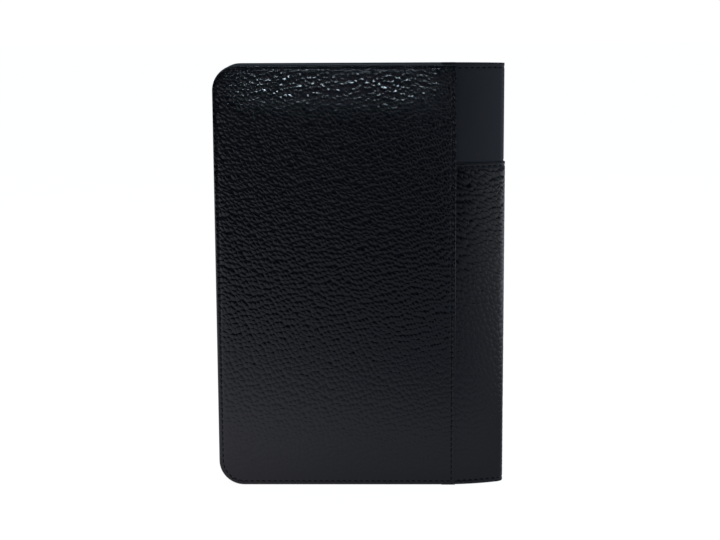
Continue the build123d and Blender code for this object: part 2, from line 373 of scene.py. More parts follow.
def magnet(tree):
    """Nickel-plated magnet."""
    place = on_object(tree)
    scratch = noise(tree, stretch(tree, place, 1.0, 1.0, 0.05), 2500.0, 2.0)
    return {
        "Base Color": tint(tree, scratch, (0.45, 0.45, 0.47), (0.62, 0.62, 0.63)),
        "Roughness": ramp(tree, scratch, 0.3, 0.7, 0.22, 0.38),
        "Metallic": 1.0,
    }


LEATHER = material(grained_leather)
SMOOTH = material(smooth_leather)
SUEDE = material(suede)
THREAD = material(thread)
BOARD = material(board)
FOAM = material(foam)
MAGNET = material(magnet)


# ---- Cover panels ----
PANEL_GRID = (0.54, 0.51)  # steps of a panel's points, across and up
ROLL_LINES = (0.0, 0.05, 0.17, 0.36, 0.62)  # finer lines over a rolled edge
CUT_LINES = (0.0, 0.05, 0.16, 0.3)  # finer lines over the raw edge
CUT_INSET = 0.6  # the underside is this far in from the raw edge

# How the face sinks: the depth, and the distance over which it fades.
PADDING = ((0.26, 2.6), (0.16, 9.0))  # inward from the edge stitching
EDGE_CREASE = (0.10, 0.5)  # along the edge stitching
SEAM_CREASE = (0.10, 0.6)  # along the seam stitching
SEAM_PADDING = (0.22, 3.0)  # inward from the seam stitching
NEEDLE_HOLE = (0.22, 0.42)
UNEVEN_DEPTH = 0.10

PANEL_GRAIN_HEIGHT = 0.23
PEBBLE_HEIGHT = 2.65
PEBBLE_WIDTH = 2.15  # at the bottom of the cover, and a little less at the top
PEBBLE_NARROWING = 0.15
GRAIN_SLANT = 0.19  # rise of a row of pebbles along X
CROWDED_FROM_X = 15.0  # from here to the seam, more pebbles are squeezed in
CROWDED_PEBBLES = 4.0


def edge_distance(x, z):
    """Distance of a point on a cover from its free edges."""
    straight = np.minimum(np.minimum(z, HEIGHT - z), x - FREE_X)
    corner_x = FREE_X + CORNER_RADIUS
    corner_z = np.where(z < HEIGHT / 2, CORNER_RADIUS, HEIGHT - CORNER_RADIUS)
    in_corner = (x < corner_x) & (np.abs(z - HEIGHT / 2) > HEIGHT / 2 - CORNER_RADIUS)
    rounded = CORNER_RADIUS - np.hypot(x - corner_x, z - corner_z)
    return np.where(in_corner, rounded, straight)


def free_edge_x(z):
    """X of the free edge at height z."""
    into = np.clip(CORNER_RADIUS - np.minimum(z, HEIGHT - z), 0.0, CORNER_RADIUS)
    return FREE_X + CORNER_RADIUS - np.sqrt(CORNER_RADIUS ** 2 - into ** 2)


def stitch_path(inset):
    """Points along the three free edges at one inset, from the seam at the bottom to the seam at the top."""
    radius = CORNER_RADIUS - inset
    centre_x = FREE_X + CORNER_RADIUS
    end_x = SEAM_X - STITCH_INSET
    low_z, high_z = CORNER_RADIUS, HEIGHT - CORNER_RADIUS
    turns = np.linspace(0.0, math.pi / 2, 24)
    bottom = [(end_x, inset)]
    low_corner = [(centre_x - radius * math.sin(a), low_z - radius * math.cos(a)) for a in turns]
    high_corner = [(centre_x - radius * math.cos(a), high_z + radius * math.sin(a)) for a in turns]
    top = [(end_x, HEIGHT - inset)]
    return np.array(bottom + low_corner + high_corner + top)


def along_path(points, distances):
    """Points at given distances along a polyline."""
    steps = np.linalg.norm(np.diff(points, axis=0), axis=1)
    reached = np.concatenate([[0.0], np.cumsum(steps)])
    return np.stack([np.interp(distances, reached, points[:, k]) for k in range(points.shape[1])], -1)


def path_length(points):
    """Length of a polyline."""
    return float(np.linalg.norm(np.diff(points, axis=0), axis=1).sum())


def hole_distances(length):
    """Distances of the needle holes along a stitch line, evenly fitted to its length."""
    count = max(1, int(round(length / STITCH_PITCH)))
    return np.linspace(0.0, length, count + 1)


EDGE_PATH = stitch_path(STITCH_INSET)
SEAM_LINE_X = SEAM_X - STITCH_INSET + 0.1  # as in the CAD
SEAM_PATH = np.array([(SEAM_LINE_X, STITCH_INSET), (SEAM_LINE_X, HEIGHT - STITCH_INSET)])
PANEL_HOLES = np.concatenate([along_path(p, hole_distances(path_length(p))) for p in (EDGE_PATH, SEAM_PATH)])


def waves(x, z, seed):
    """Slow unevenness of the stretched leather, between about -1 and 1."""
    return (0.5 * np.sin(x / 31.0 + z / 47.0 + seed) + 0.3 * np.sin(x / 17.0 - z / 26.0 + 2.1 * seed)
            + 0.2 * np.sin(z / 12.5 + x / 43.0 + 0.7 * seed))


def rounding(radius, distance):
    """Depth of a rounded edge at a distance from it."""
    return radius - np.sqrt(np.maximum(radius ** 2 - np.clip(radius - distance, 0.0, radius) ** 2, 0.0))


def crease(away, depth, width):
    """Depth of a soft crease or hole, by the distance from its middle."""
    return depth * np.exp(-(away / width) ** 2)


def sinking(inside, depth, reach):
    """Depth that fades away inward from a line."""
    return depth * np.exp(-inside / reach)


def panel_depth(x, z, seed):
    """Depth of the panel's surface below its outermost plane."""
    edge = edge_distance(x, z)
    raw = SEAM_X - x
    padding = sum(sinking(np.maximum(edge - STITCH_INSET, 0.0), *values) for values in PADDING)
    seam_dip = crease(raw - STITCH_INSET, *SEAM_CREASE)
    seam_dip = seam_dip + sinking(np.maximum(raw - STITCH_INSET, 0.0), *SEAM_PADDING)
    holes = np.zeros_like(x)
    near = (edge < STITCH_INSET + 1.0) | (raw < STITCH_INSET + 1.0)
    spots = np.stack([x[near], z[near]], -1)
    gap = np.full(len(spots), 9.0)
    for hole in PANEL_HOLES:
        gap = np.minimum(gap, np.hypot(*(spots - hole).T))
    holes[near] = crease(gap, *NEEDLE_HOLE)
    slow = UNEVEN_DEPTH * (1.0 + waves(x, z, seed)) * np.clip((edge - 2.0) / 12.0, 0.0, 1.0)
    rounded = np.maximum(rounding(EDGE_ROLL, edge), rounding(RAW_EDGE, raw))
    pulled = crease(edge - STITCH_INSET, *EDGE_CREASE)
    return rounded + np.maximum(padding, seam_dip) + pulled + holes + slow


def panel_grain(x, z, seed):
    """Grain coordinates over a cover, in pebbles, with a slow drift and each row half a pebble on."""
    slant = GRAIN_SLANT * x + 3.2 * np.sin(x / 41.0 + seed) + 1.6 * np.sin((x + z) / 33.0 + 2 * seed)
    long_way = x - 3.5 * np.sin(z / 37.0 + seed)
    toward_seam = np.clip((x - CROWDED_FROM_X) / (SEAM_X - CROWDED_FROM_X), 0.0, 1.0)
    up = (z - slant) / PEBBLE_HEIGHT
    width = PEBBLE_WIDTH - PEBBLE_NARROWING * z / HEIGHT
    across = long_way / width + CROWDED_PEBBLES * toward_seam ** 2 + 0.5 * up
    return np.stack([across + 31.0 * seed, up + 17.0 * seed, np.zeros_like(x)], -1)


def cover_panel(side, name, body, seed):
    """Outer leather of a cover: grained face, rolled edges turned in over the board, raw edge at the seam."""
    offsets = lines_between(0.0, SEAM_X - FREE_X, PANEL_GRID[0], (*ROLL_LINES, 0.95), CUT_LINES)
    rows = lines_between(0.0, HEIGHT, PANEL_GRID[1], ROLL_LINES, ROLL_LINES)
    z, offset = np.meshgrid(rows, offsets, indexing="ij")
    left = free_edge_x(z)
    x = left + offset * (SEAM_X - left) / (SEAM_X - FREE_X)
    edge = edge_distance(x, z)
    points = np.stack([x, side * (OUTER - panel_depth(x, z, seed)), z], -1).reshape(-1, 3)
    faces = grid_faces(*x.shape, flip=side == FRONT)

    loop = grid_border(*x.shape)
    rim = points[loop]
    turned = rim[:, 0] < TAB_X
    at_seam = rim[:, 0] > SEAM_X - 0.01
    inset = np.where(at_seam, CUT_INSET, TURNED_EDGE)
    centre = np.array([0.5 * (FREE_X + SEAM_X), 0.0, HEIGHT / 2])
    span = np.array([SEAM_X - FREE_X, 1.0, HEIGHT]) / 2
    inner = centre + (rim - centre) * (1.0 - inset[:, None] / span)
    lip = np.where(turned, INNER, UNDER_LEATHER)
    above_lip = np.where(turned, INNER + 0.2, UNDER_LEATHER + 0.1)
    corner = 0.8 * rim + 0.2 * inner
    # Down the edge, round its corner, in over the board, and up to the leather's underside.
    rings = [
        np.stack([rim[:, 0], side * above_lip, rim[:, 2]], -1),
        np.stack([corner[:, 0], side * lip, corner[:, 2]], -1),
        np.stack([inner[:, 0], side * lip, inner[:, 2]], -1),
        np.stack([inner[:, 0] * 0.999, side * np.full(len(rim), UNDER_LEATHER), inner[:, 2]], -1),
    ]
    loops = [loop] + [len(points) + ring * len(loop) + np.arange(len(loop)) for ring in range(len(rings))]
    for upper, lower in zip(loops, loops[1:]):
        walls = np.stack([upper, lower, np.roll(lower, -1), np.roll(upper, -1)], -1)
        faces += (walls if side == BACK else walls[:, ::-1]).tolist()
    faces.append((loops[-1] if side == FRONT else loops[-1][::-1]).tolist())
    points = np.concatenate([points, *rings])

    piece = new_piece(name, points, faces, LEATHER, 60.0)
    mask = np.zeros(len(points))
    face_mask = 0.25 + 0.75 * np.clip((edge - 0.4) / 3.0, 0.0, 1.0)
    face_mask *= np.clip(np.minimum(edge, SEAM_X - x) / 0.4, 0.0, 1.0) * (0.30 + 0.70 * (z / HEIGHT) ** 2)
    mask[:x.size] = face_mask.ravel()
    store(piece, "grain", panel_grain(points[:, 0], points[:, 2], seed), "FLOAT_VECTOR")
    store(piece, "grain_mask", mask)
    raise_grain(piece, PANEL_GRAIN_HEIGHT)
    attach(piece, body)
    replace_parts(piece, name_of_panel(side))


def name_of_panel(side):
    """CAD node that a cover's panel stands for."""
    return "back_panel_leather" if side == BACK else "front_panel_leather"


# ---- Stitches ----
def stitch_row(starts, ends, normals):
    """Points, faces and twist coordinates of one stitch of thread from each start to each end."""
    rings, sides = len(STITCH_RISE), 8
    steps = np.linspace(0.0, 1.0, rings)
    girth = np.array(STITCH_GIRTH) * THREAD_RADIUS
    turn = np.linspace(0, 2 * math.pi, sides, endpoint=False)
    points, faces, twist = [], [], []
    for number, (start, end, normal) in enumerate(zip(starts, ends, normals)):
        along = end - start
        along = along / np.linalg.norm(along)
        across = np.cross(along, normal)
        middle = (start + end) / 2
        half = along * STITCH_LENGTH / 2 + across * STITCH_SLANT
        first = len(points)
        for step, up, radius in zip(steps, STITCH_RISE, girth):
            centre = middle + half * (2 * step - 1) + normal * up
            for angle in turn:
                points.append(centre + across * math.cos(angle) * radius
                              + normal * math.sin(angle) * radius * STITCH_FLATNESS)
                twist.append((step * STITCH_LENGTH * TWIST_PER_MM + number, angle * 2.0, 0.0))
        for ring in range(rings - 1):
            for k in range(sides):
                a = first + ring * sides + k
                b = first + ring * sides + (k + 1) % sides
                faces.append((a, b, b + sides, a + sides))
        faces.append(tuple(first + k for k in reversed(range(sides))))
        faces.append(tuple(first + (rings - 1) * sides + k for k in range(sides)))
    return points, faces, twist


def stitch_piece(name, rows):
    """One piece with every stitch of several rows, each given as starts, ends and normals."""
    points, faces, twist = [], [], []
    for starts, ends, normals in rows:
        p, f, t = stitch_row(starts, ends, normals)
        faces += [tuple(i + len(points) for i in face) for face in f]
        points += p
        twist += t
    piece = new_piece(name, points, faces, THREAD, 70.0)
    store(piece, "twist", twist, "FLOAT_VECTOR")
    return piece


def sheet_row(path, place, depth, normal):
    """Stitches along one line of a leather sheet, at one depth below its face."""
    holes = along_path(path, hole_distances(path_length(path)))
    spots = place(holes[:, 0], holes[:, 1], np.full(len(holes), depth))
    return spots[:-1], spots[1:], np.tile(np.array(normal, float), (len(holes) - 1, 1))


def on_cover(face_y, toward):
    """Placing of a sheet that lies along a cover, with its face at one Y, looking toward +Y or -Y."""
    def place(u, v, depth):
        return np.stack([u, face_y - toward * depth, v], -1)
    return place


def panel_row(path, side, seed):
    """Stitches of one line on a cover panel, at the leather's depth halfway between the needle holes."""
    holes = along_path(path, hole_distances(path_length(path)))
    between = (holes[:-1] + holes[1:]) / 2
    depth = np.median(panel_depth(between[:, 0], between[:, 1], seed)) - STITCH_PROUD
    return sheet_row(path, on_cover(side * OUTER, side), depth, (0, side, 0))


def cover_stitches(side, cover, body, seed):
    """Edge and seam stitches of one cover."""
    for part, path in (("edge", EDGE_PATH), ("seam", SEAM_PATH)):
        piece = stitch_piece(f"{cover}_{part}_stitches", [panel_row(path, side, seed)])
        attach(piece, body)
        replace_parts(piece, f"{cover}_{part}_stitching")


# ---- Spine ----
GRAINED_GRID = (0.34, 0.5)  # steps of a sheet's points, across and up
PLAIN_GRID = (0.4, 1.0)
END_LINES = (0.0, 0.05, 0.15, 0.3, 0.6)  # finer rows at a sheet's ends
SPINE_CREASE = (0.2, 0.45)  # depth and width of the crease along each stitch line
SPINE_STITCH_DEPTH = 0.14
SPINE_STITCH_START = 0.4  # the first needle hole, round from the seam
SPINE_GRAIN_HEIGHT = 0.18
SPINE_GRAIN_STRENGTH = 0.36
SPINE_PEBBLE = (2.2, 3.0)  # width and height

CURVE_LENGTH = SPINE_RADIUS * NOSE_ANGLE
HALF_SPINE = CURVE_LENGTH + NOSE_RADIUS * (math.pi / 2 - NOSE_ANGLE)


def spine_outer(s):
    """X, |Y| and direction angle of the spine's surface, at s along it from the shoulder to the nose."""
    on_nose = s > CURVE_LENGTH
    angle = np.where(on_nose, NOSE_ANGLE + (s - CURVE_LENGTH) / NOSE_RADIUS, s / SPINE_RADIUS)
    nose_x = NOSE_X - NOSE_RADIUS + NOSE_RADIUS * np.sin(angle)
    curve_x = SHOULDER[0] + SPINE_RADIUS * np.sin(angle)
    curve_y = SHOULDER[1] - SPINE_RADIUS * (1 - np.cos(angle))
    return np.where(on_nose, nose_x, curve_x), np.where(on_nose, NOSE_RADIUS * np.cos(angle), curve_y), angle


def spine_place(s, depth):
    """Point below the surface, and outward normal, at s from the back shoulder round to the front one."""
    back = s <= HALF_SPINE
    half = np.where(back, s, 2 * HALF_SPINE - s)
    x, y, angle = spine_outer(half)
    side = np.where(back, -1.0, 1.0)
    normal = np.stack([np.sin(angle), side * np.cos(angle)], -1)
    return np.stack([x, side * y], -1) - normal * np.asarray(depth)[..., None], normal


def spine_s(x):
    """Distance along the spine's surface, from the back shoulder, of a point on its back half."""
    return SPINE_RADIUS * math.asin((x - SHOULDER[0]) / SPINE_RADIUS)


CUT_S = spine_s(SPINE_CUT_X)
SPINE_SPANS = {
    "back": (0.0, CUT_S),
    "nose": (CUT_S, 2 * HALF_SPINE - CUT_S),
    "front": (2 * HALF_SPINE - CUT_S, 2 * HALF_SPINE),
}
TOP_STITCH_Z = HEIGHT - STITCH_INSET
SEAM_STITCH_Z = SPINE_SEAM_Z - STITCH_INSET


def bend(piece, span):
    """Bakes a piece of the spine's placement into its mesh, alike for every span; nothing is bent."""
    if span == "nose":
        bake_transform(piece)
        return
    if span == "back":
        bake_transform(piece)
    else:
        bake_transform(piece)


def spine_sheet(layer, depth, thickness, z_low, z_high, surface, stitch_heights=(), grained=False, edge=0.2):
    """One layer of the spine in three joined lengths, each a closed sheet."""
    step_s, step_z = GRAINED_GRID if grained else PLAIN_GRID
    crease_rows = [height + step for height in stitch_heights for step in LINE_STEPS]
    steps_z = lines_between(z_low, z_high, step_z, END_LINES, END_LINES)
    steps_z = np.unique(np.round(np.concatenate([steps_z, crease_rows]), 4))
    for span, (s_low, s_high) in SPINE_SPANS.items():
        z, s = np.meshgrid(steps_z, lines_between(s_low, s_high, step_s), indexing="ij")
        end = np.minimum(z - z_low, z_high - z)
        dips = sum(crease(z - height, *SPINE_CREASE) for height in stitch_heights)
        outer, _ = spine_place(s, depth + rounding(edge, end) + dips)
        under, _ = spine_place(s, np.full_like(s, depth + thickness))
        points = [np.concatenate([face, z[..., None]], -1).reshape(-1, 3) for face in (outer, under)]
        loop = grid_border(*z.shape)
        after = np.roll(loop, -1)
        faces = grid_faces(*z.shape)
        faces += (np.array(grid_faces(*z.shape, flip=True)) + z.size).tolist()
        faces += np.stack([loop, loop + z.size, after + z.size, after], -1).tolist()
        piece = new_piece(f"spine_{layer}_{span}", np.concatenate(points), faces, surface, 60.0)
        if grained:
            up = z / SPINE_PEBBLE[1] + 1.1 * np.sin(s / 9.0)
            grain = np.stack([up, s / SPINE_PEBBLE[0] + 0.9 * np.sin(z / 21.0) + 0.5 * up, 0 * z], -1)
            mask = SPINE_GRAIN_STRENGTH * np.clip(end / 0.4, 0.0, 1.0)
            mask = mask * (0.35 + 0.65 * np.clip((end - 0.6) / 2.5, 0.0, 1.0))
            store(piece, "grain", np.concatenate([grain.reshape(-1, 3)] * 2), "FLOAT_VECTOR")
            store(piece, "grain_mask", np.concatenate([mask.ravel(), np.zeros(z.size)]))
            raise_grain(piece, SPINE_GRAIN_HEIGHT)
        bend(piece, span)
        yield span, piece


def build_spine():
    """Grained overlay, smooth base and suede lining of the spine."""
    overlay = spine_sheet("overlay", 0.0, SPINE_OVERLAY, 0.0, SPINE_SEAM_Z, LEATHER,
                          (STITCH_INSET, SEAM_STITCH_Z), grained=True, edge=0.5)
    base = spine_sheet("base", SPINE_OVERLAY, SPINE_BASE, 0.0, HEIGHT, SMOOTH,
                       (TOP_STITCH_Z, SPINE_SEAM_Z + 0.3))
    lining = spine_sheet("lining", SPINE_OVERLAY + SPINE_BASE, SPINE_LINING,
                         TURNED_EDGE, HEIGHT - TURNED_EDGE, SUEDE)
    for layer, pieces, slot in (("overlay", overlay, "grained_leather"), ("base", base, "smooth_leather"),
                                ("lining", lining, "lining")):
        for span, piece in pieces:
            if span == "back":
                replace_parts(piece, f"spine_back_{layer}")
            if span == "front":
                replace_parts(piece, f"spine_front_{layer}")


def spine_stitches():
    """Stitch lines round the spine: bottom, under the seam and along the top."""
    lines = ((STITCH_INSET, 0.0), (SEAM_STITCH_Z, 0.0), (TOP_STITCH_Z, SPINE_OVERLAY))
    start_s = spine_s(SEAM_X) + SPINE_STITCH_START
    holes = start_s + hole_distances(2 * (HALF_SPINE - start_s))
    middle = (holes[:-1] + holes[1:]) / 2
    for span, (s_low, s_high) in SPINE_SPANS.items():
        inside = (middle >= s_low) & (middle < s_high)
        rows = []
        for height, depth in lines:
            places, _ = spine_place(holes, np.full(len(holes), depth + SPINE_STITCH_DEPTH))
            _, normals = spine_place(middle, np.zeros(len(middle)))
            spots = np.concatenate([places, np.full((len(holes), 1), height)], -1)
            ups = np.concatenate([normals, np.zeros((len(middle), 1))], -1)
            rows.append((spots[:-1][inside], spots[1:][inside], ups[inside]))
        piece = stitch_piece(f"spine_stitches_{span}", rows)
        bend(piece, span)
        if span == "back":
            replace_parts(piece, "spine_back_stitching")
        if span == "front":
            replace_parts(piece, "spine_front_stitching")


# ---- Inside: flat sheets of leather and suede with worked edges ----
RING_STEP = 0.5  # spacing of the points round a sheet
FIELD_INSETS = (1.6, 3.0, 5.0, 8.0, 12.0, 17.0, 23.0, 30.0, 38.0, 46.0)
SQUARE = (0.3, 0.3, 0.3, 0.3)  # corner radii: low right, high right, high left, low left
STITCH_DEPTH = 0.2  # middle of a flat sheet's stitches below its face
LINE_DEPTHS = (0.14, 0.2)  # crease and needle holes along a stitch line
FOLD_DEPTHS = (0.12, 0.0)  # the same along a plain crease
LINE_WIDTH = 0.4
HOLE_SPREAD = 0.16  # square of a needle hole's width

LINING_CORNERS = (0.1, 0.1, CORNER_RADIUS - TURNED_EDGE, CORNER_RADIUS - TURNED_EDGE)
BEZEL_LINE = 1.2
BEZEL_UNDER = 0.61  # the bezel's sheet takes in the stiffener below its leather
WINDOW_RADIUS = 3.0
WINDOW_LINE = 1.8
BORDER_NARROW = 9.5  # the bezel's border is at least this wide
BORDER_REACH = 4.6  # rings of the bezel's border run this far from both of its edges
POCKET_LINE = 1.5
POCKET_HEM = (3.0, 0.6)  # width, and how far it stands off the lining
CARD_LINE = 1.3
CARD_CREASE = 2.2
CARD_MOUTH = 0.8  # a card slot's side stitches end this far below its mouth
FLAP_LINE = 1.3
FLAP_CORNERS = (0.3, 3.0, 3.0, 0.3)


def loop_points(box, radii, inset, counts):
    """Closed line round a box with rounded corners, brought in by inset, with a fixed number of points."""
    u_low, u_high, v_low, v_high = np.array(box) + inset * np.array([1, -1, 1, -1])
    corners = ((u_high, v_low, -1, 1), (u_high, v_high, -1, -1), (u_low, v_high, 1, -1), (u_low, v_low, 1, 1))
    arcs = []
    for quarter, (radius, (u, v, inward_u, inward_v)) in enumerate(zip(radii, corners)):
        left = max(radius - inset, 0.1)
        turns = (quarter - 1 + np.linspace(0.0, 1.0, 7)) * math.pi / 2
        centre = np.array([u + inward_u * left, v + inward_v * left])
        arcs.append(centre + left * np.stack([np.cos(turns), np.sin(turns)], -1))
    line = []
    for arc, following, count in zip(arcs, arcs[1:] + arcs[:1], counts * 2):
        line += [arc, np.linspace(arc[-1], following[0], count + 1)[1:-1]]
    return np.concatenate(line)


def box_sides(box, inset, sides=("right", "top", "left", "bottom")):
    """Straight lines along the named sides of a box, from corner to corner."""
    u_low, u_high, v_low, v_high = np.array(box) + inset * np.array([1, -1, 1, -1])
    corners = np.array([(u_high, v_low), (u_high, v_high), (u_low, v_high), (u_low, v_low)])
    lines = dict(zip(("right", "top", "left", "bottom"), np.stack([corners, np.roll(corners, -1, 0)], 1)))
    return [lines[side] for side in sides]


def pressed(points, line, groove, hole):
    """Depth pressed in along one line: a groove, and the needle holes in it."""
    length = path_length(line)
    along = (line[1] - line[0]) / length
    reach = (points - line[0]) @ along
    away = (points - line[0]) @ np.array([-along[1], along[0]])
    past = np.maximum(np.maximum(-reach, reach - length), 0.0)
    pitch = length / (len(hole_distances(length)) - 1)
    to_hole = (reach + pitch / 2) % pitch - pitch / 2
    depth = crease(away, groove, LINE_WIDTH) + hole * np.exp(-(away ** 2 + to_hole ** 2) / HOLE_SPREAD)
    return depth * np.exp(-(past / LINE_WIDTH) ** 2)


def edge_rings(box, radii, counts, thickness, roll, insets, hem=None, sign=1):
    """Rings of a sheet from its underside over its rounded edge to its face: points, depth and inset of each.

    The sign is -1 round a window, where the sheet lies outside the line."""
    total = thickness + (hem[1] if hem else 0.0)
    profile = [(hem[0] + 0.1, thickness), (hem[0] - 0.1, total)] if hem else []
    profile += [(0.1, total), (0.0, total - 0.1)]
    turns = np.linspace(0.0, math.pi / 2, 5)
    profile += [(roll * (1 - math.cos(turn)), roll * (1 - math.sin(turn))) for turn in turns]
    profile += [(inset, 0.0) for inset in insets if inset > roll]
    return [(loop_points(box, radii, sign * inset, counts), depth, inset) for inset, depth in profile]


def ring_insets(lines_at, reach):
    """Distances from an edge at which a sheet gets a ring of points, close together across each line."""
    fine = [inset + step for inset in lines_at for step in LINE_STEPS]
    return sorted({round(inset, 3) for inset in (*FIELD_INSETS, *fine) if 0.3 < inset < reach})


def flat_sheet(name, box, thickness, place, surface, radii=SQUARE, lines=(), creases=(), lines_at=(),
               window=None, hem=None, roll=0.25, uneven=0.05):
    """Closed sheet with rounded edges, lines and creases pressed into its face, and an optional window."""
    counts = tuple(max(4, int(span / RING_STEP)) for span in (box[3] - box[2], box[1] - box[0]))
    reach = BORDER_REACH if window else min(box[1] - box[0], box[3] - box[2]) / 2 - 0.6
    rings = edge_rings(box, radii, counts, thickness, roll, ring_insets(lines_at, reach), hem)
    if window:
        insets = ring_insets((WINDOW_LINE,), reach)
        rings += edge_rings(window, (WINDOW_RADIUS,) * 4, counts, thickness, roll, insets, sign=-1)[::-1]
    points = []
    for loop, depth, inset in rings:
        u, v = loop[:, 0], loop[:, 1]
        sunk = np.full(len(loop), depth)
        if depth < roll:
            sunk += uneven * (1.0 + waves(u, v, thickness)) * np.clip((inset - 1.5) / 6.0, 0.0, 1.0)
            sunk += sum(pressed(loop, line, *LINE_DEPTHS) for line in lines)
            sunk += sum(pressed(loop, line, *FOLD_DEPTHS) for line in creases)
        if hem:
            mouth = (u > box[1] - hem[0] - 0.2) & (v > box[2] + hem[0]) & (v < box[3] - hem[0])
            sunk = np.where(mouth, np.minimum(sunk, thickness), sunk)
        points.append(place(u, v, sunk))
    index = np.arange(len(rings) * len(points[0])).reshape(len(rings), -1)
    pairs = list(zip(index[:-1], index[1:])) + ([(index[-1], index[0])] if window else [])
    faces = []
    for ring, following in pairs:
        faces += np.stack([ring, np.roll(ring, -1), np.roll(following, -1), following], -1).tolist()
    if not window:
        faces += [index[0, ::-1].tolist(), index[-1].tolist()]
    piece = new_piece(name, np.concatenate(points), faces, surface, 50.0)
    work = bmesh.new()
    work.from_mesh(piece.data)
    bmesh.ops.recalc_face_normals(work, faces=work.faces)
    work.to_mesh(piece.data)
    work.free()
    return piece


def box_of(node_name):
    """X and Z range of a CAD node, and its Y range."""
    low, high = box_mm(node_name)
    return (low[0], high[0], low[2], high[2]), (low[1], high[1])


def cover_sheet(node_name, toward, body, surface, also=(), thicker=0.0, **details):
    """Sheet that stands for a CAD node lying along a cover, with its face toward the front or back."""
    box, (y_low, y_high) = box_of(node_name)
    face_y = y_high if toward == FRONT else y_low
    place = on_cover(face_y, toward)
    piece = flat_sheet(f"{node_name}_sheet", box, y_high - y_low + thicker, place, surface, **details)
    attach(piece, body)
    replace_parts(piece, node_name, *also)
    return place


def inside_stitches(name, rows, body):
    """Stitches of the inside, riding with one body."""
    piece = stitch_piece(name, rows)
    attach(piece, body)
    return piece


def window_box():
    """Screen window in the bezel: the hole in the middle of its leather, read from the node's own points."""
    points = np.array([vertex.co for vertex in frame["nodes"]["bezel_leather"].data.vertices]) / MM
    (x_low, x_high, z_low, z_high), _ = box_of("bezel_leather")
    deep = np.minimum(np.minimum(points[:, 0] - x_low, x_high - points[:, 0]),
                      np.minimum(points[:, 2] - z_low, z_high - points[:, 2])) > BORDER_NARROW
    hole = points[deep]
    return hole[:, 0].min(), hole[:, 0].max(), hole[:, 2].min(), hole[:, 2].max()


def holder():
    """Suede lining, walls and window bezel that hold the tablet."""
    cover_sheet("back_lining", FRONT, "back_cover", SUEDE, radii=LINING_CORNERS, roll=0.15)
    walls = ("side_wall_lower", "side_wall_upper", "spine_wall", "bottom_wall_outer", "bottom_wall_inner")
    for wall in walls:
        cover_sheet(f"holder_{wall}", FRONT, "back_cover", SMOOTH, radii=(0.45,) * 4, roll=0.2, uneven=0.0)

    box, _ = box_of("bezel_leather")
    window = window_box()
    lines = box_sides(box, BEZEL_LINE) + box_sides(window, -WINDOW_LINE)
    place = cover_sheet("bezel_leather", FRONT, "back_cover", SMOOTH, also=("bezel_stiffener",),
                        thicker=BEZEL_UNDER, lines=lines, lines_at=(BEZEL_LINE,), window=window, roll=0.35)
    rows = [sheet_row(line, place, STITCH_DEPTH, (0, FRONT, 0)) for line in lines]
    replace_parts(inside_stitches("bezel_stitches", rows, "back_cover"), "bezel_stitching")


def pockets():
    """Lining, slip pocket and card slots inside the front cover."""
    cover_sheet("front_lining", BACK, "front_cover", SUEDE, radii=LINING_CORNERS, roll=0.15)
    box, _ = box_of("slip_pocket")
    lines = box_sides(box, POCKET_LINE)
    place = cover_sheet("slip_pocket", BACK, "front_cover", SMOOTH, lines=lines, lines_at=(POCKET_LINE,),
                        hem=POCKET_HEM, thicker=-POCKET_HEM[1])
    rows = [sheet_row(line, place, STITCH_DEPTH, (0, BACK, 0)) for line in lines]
    cards = ("card_slot_1", "card_slot_2", "card_slot_3")
    for card, outer_card in zip(cards, cards[1:] + (None,)):
        box, _ = box_of(card)
        sides = ("right", "left") if outer_card else ("right", "left", "bottom")
        low = box_of(outer_card)[0][3] if outer_card else box[2] + CARD_LINE
        shown = (box[0] + CARD_LINE, box[1] - CARD_LINE, low, box[3] - CARD_MOUTH)
        lines = box_sides(shown, 0.0, sides)
        creases = box_sides(box, CARD_CREASE, ("top",))
        place = cover_sheet(card, BACK, "front_cover", SMOOTH, lines=lines, creases=creases,
                            lines_at=(CARD_LINE, CARD_CREASE), roll=0.18)
        rows += [sheet_row(line, place, STITCH_DEPTH, (0, BACK, 0)) for line in lines]
    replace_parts(inside_stitches("pocket_stitches", rows, "front_cover"), "pocket_stitching")


def top_flap():
    """Leather over the flap's stiffener, with its stitches."""
    low, high = box_mm("top_flap_leather")
    under = box_mm("top_flap_stiffener")[0][2]
    box = (low[0], high[0], low[1], high[1])
    lines = box_sides(box, FLAP_LINE)

    def place(u, v, depth):
        return np.stack([u, v, high[2] - depth], -1)

    piece = flat_sheet("top_flap_sheet", box, high[2] - under, place, SMOOTH, radii=FLAP_CORNERS,
                       lines=lines, lines_at=(FLAP_LINE,), uneven=0.0)
    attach(piece, "top_flap")
    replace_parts(piece, "top_flap_leather", "top_flap_stiffener")
    rows = [sheet_row(line, place, STITCH_DEPTH, (0, 0, 1)) for line in lines]
    inside_stitches("top_flap_stitches", rows, "top_flap")


# ---- Stage ----
# Pools of light on the floor, on both sides of the case: centre, full and end radius, strength and colour.
GLOWS = (
    ((-0.22, 0.08, 0.0), 0.05, 0.30, 0.28, (1.08, 1.0, 1.05)),
    ((-0.03, 0.05, 0.0), 0.05, 0.25, 0.20, (1.0, 1.0, 1.14)),
    ((0.22, 0.08, 0.0), 0.05, 0.25, 0.17, (0.95, 1.0, 1.15)),
    ((0.00, 0.35, 0.0), 0.10, 0.60, 0.21, (0.86, 1.0, 1.28)),
    ((-0.90, 0.30, 0.0), 0.30, 1.00, 1.05, (1.0, 1.0, 1.1)),
    ((1.20, 0.60, 0.0), 0.45, 1.25, 0.60, (0.93, 1.0, 1.15)),
    ((0.85, 0.05, 0.0), 0.20, 0.65, 0.85, (0.95, 1.0, 1.12)),
)

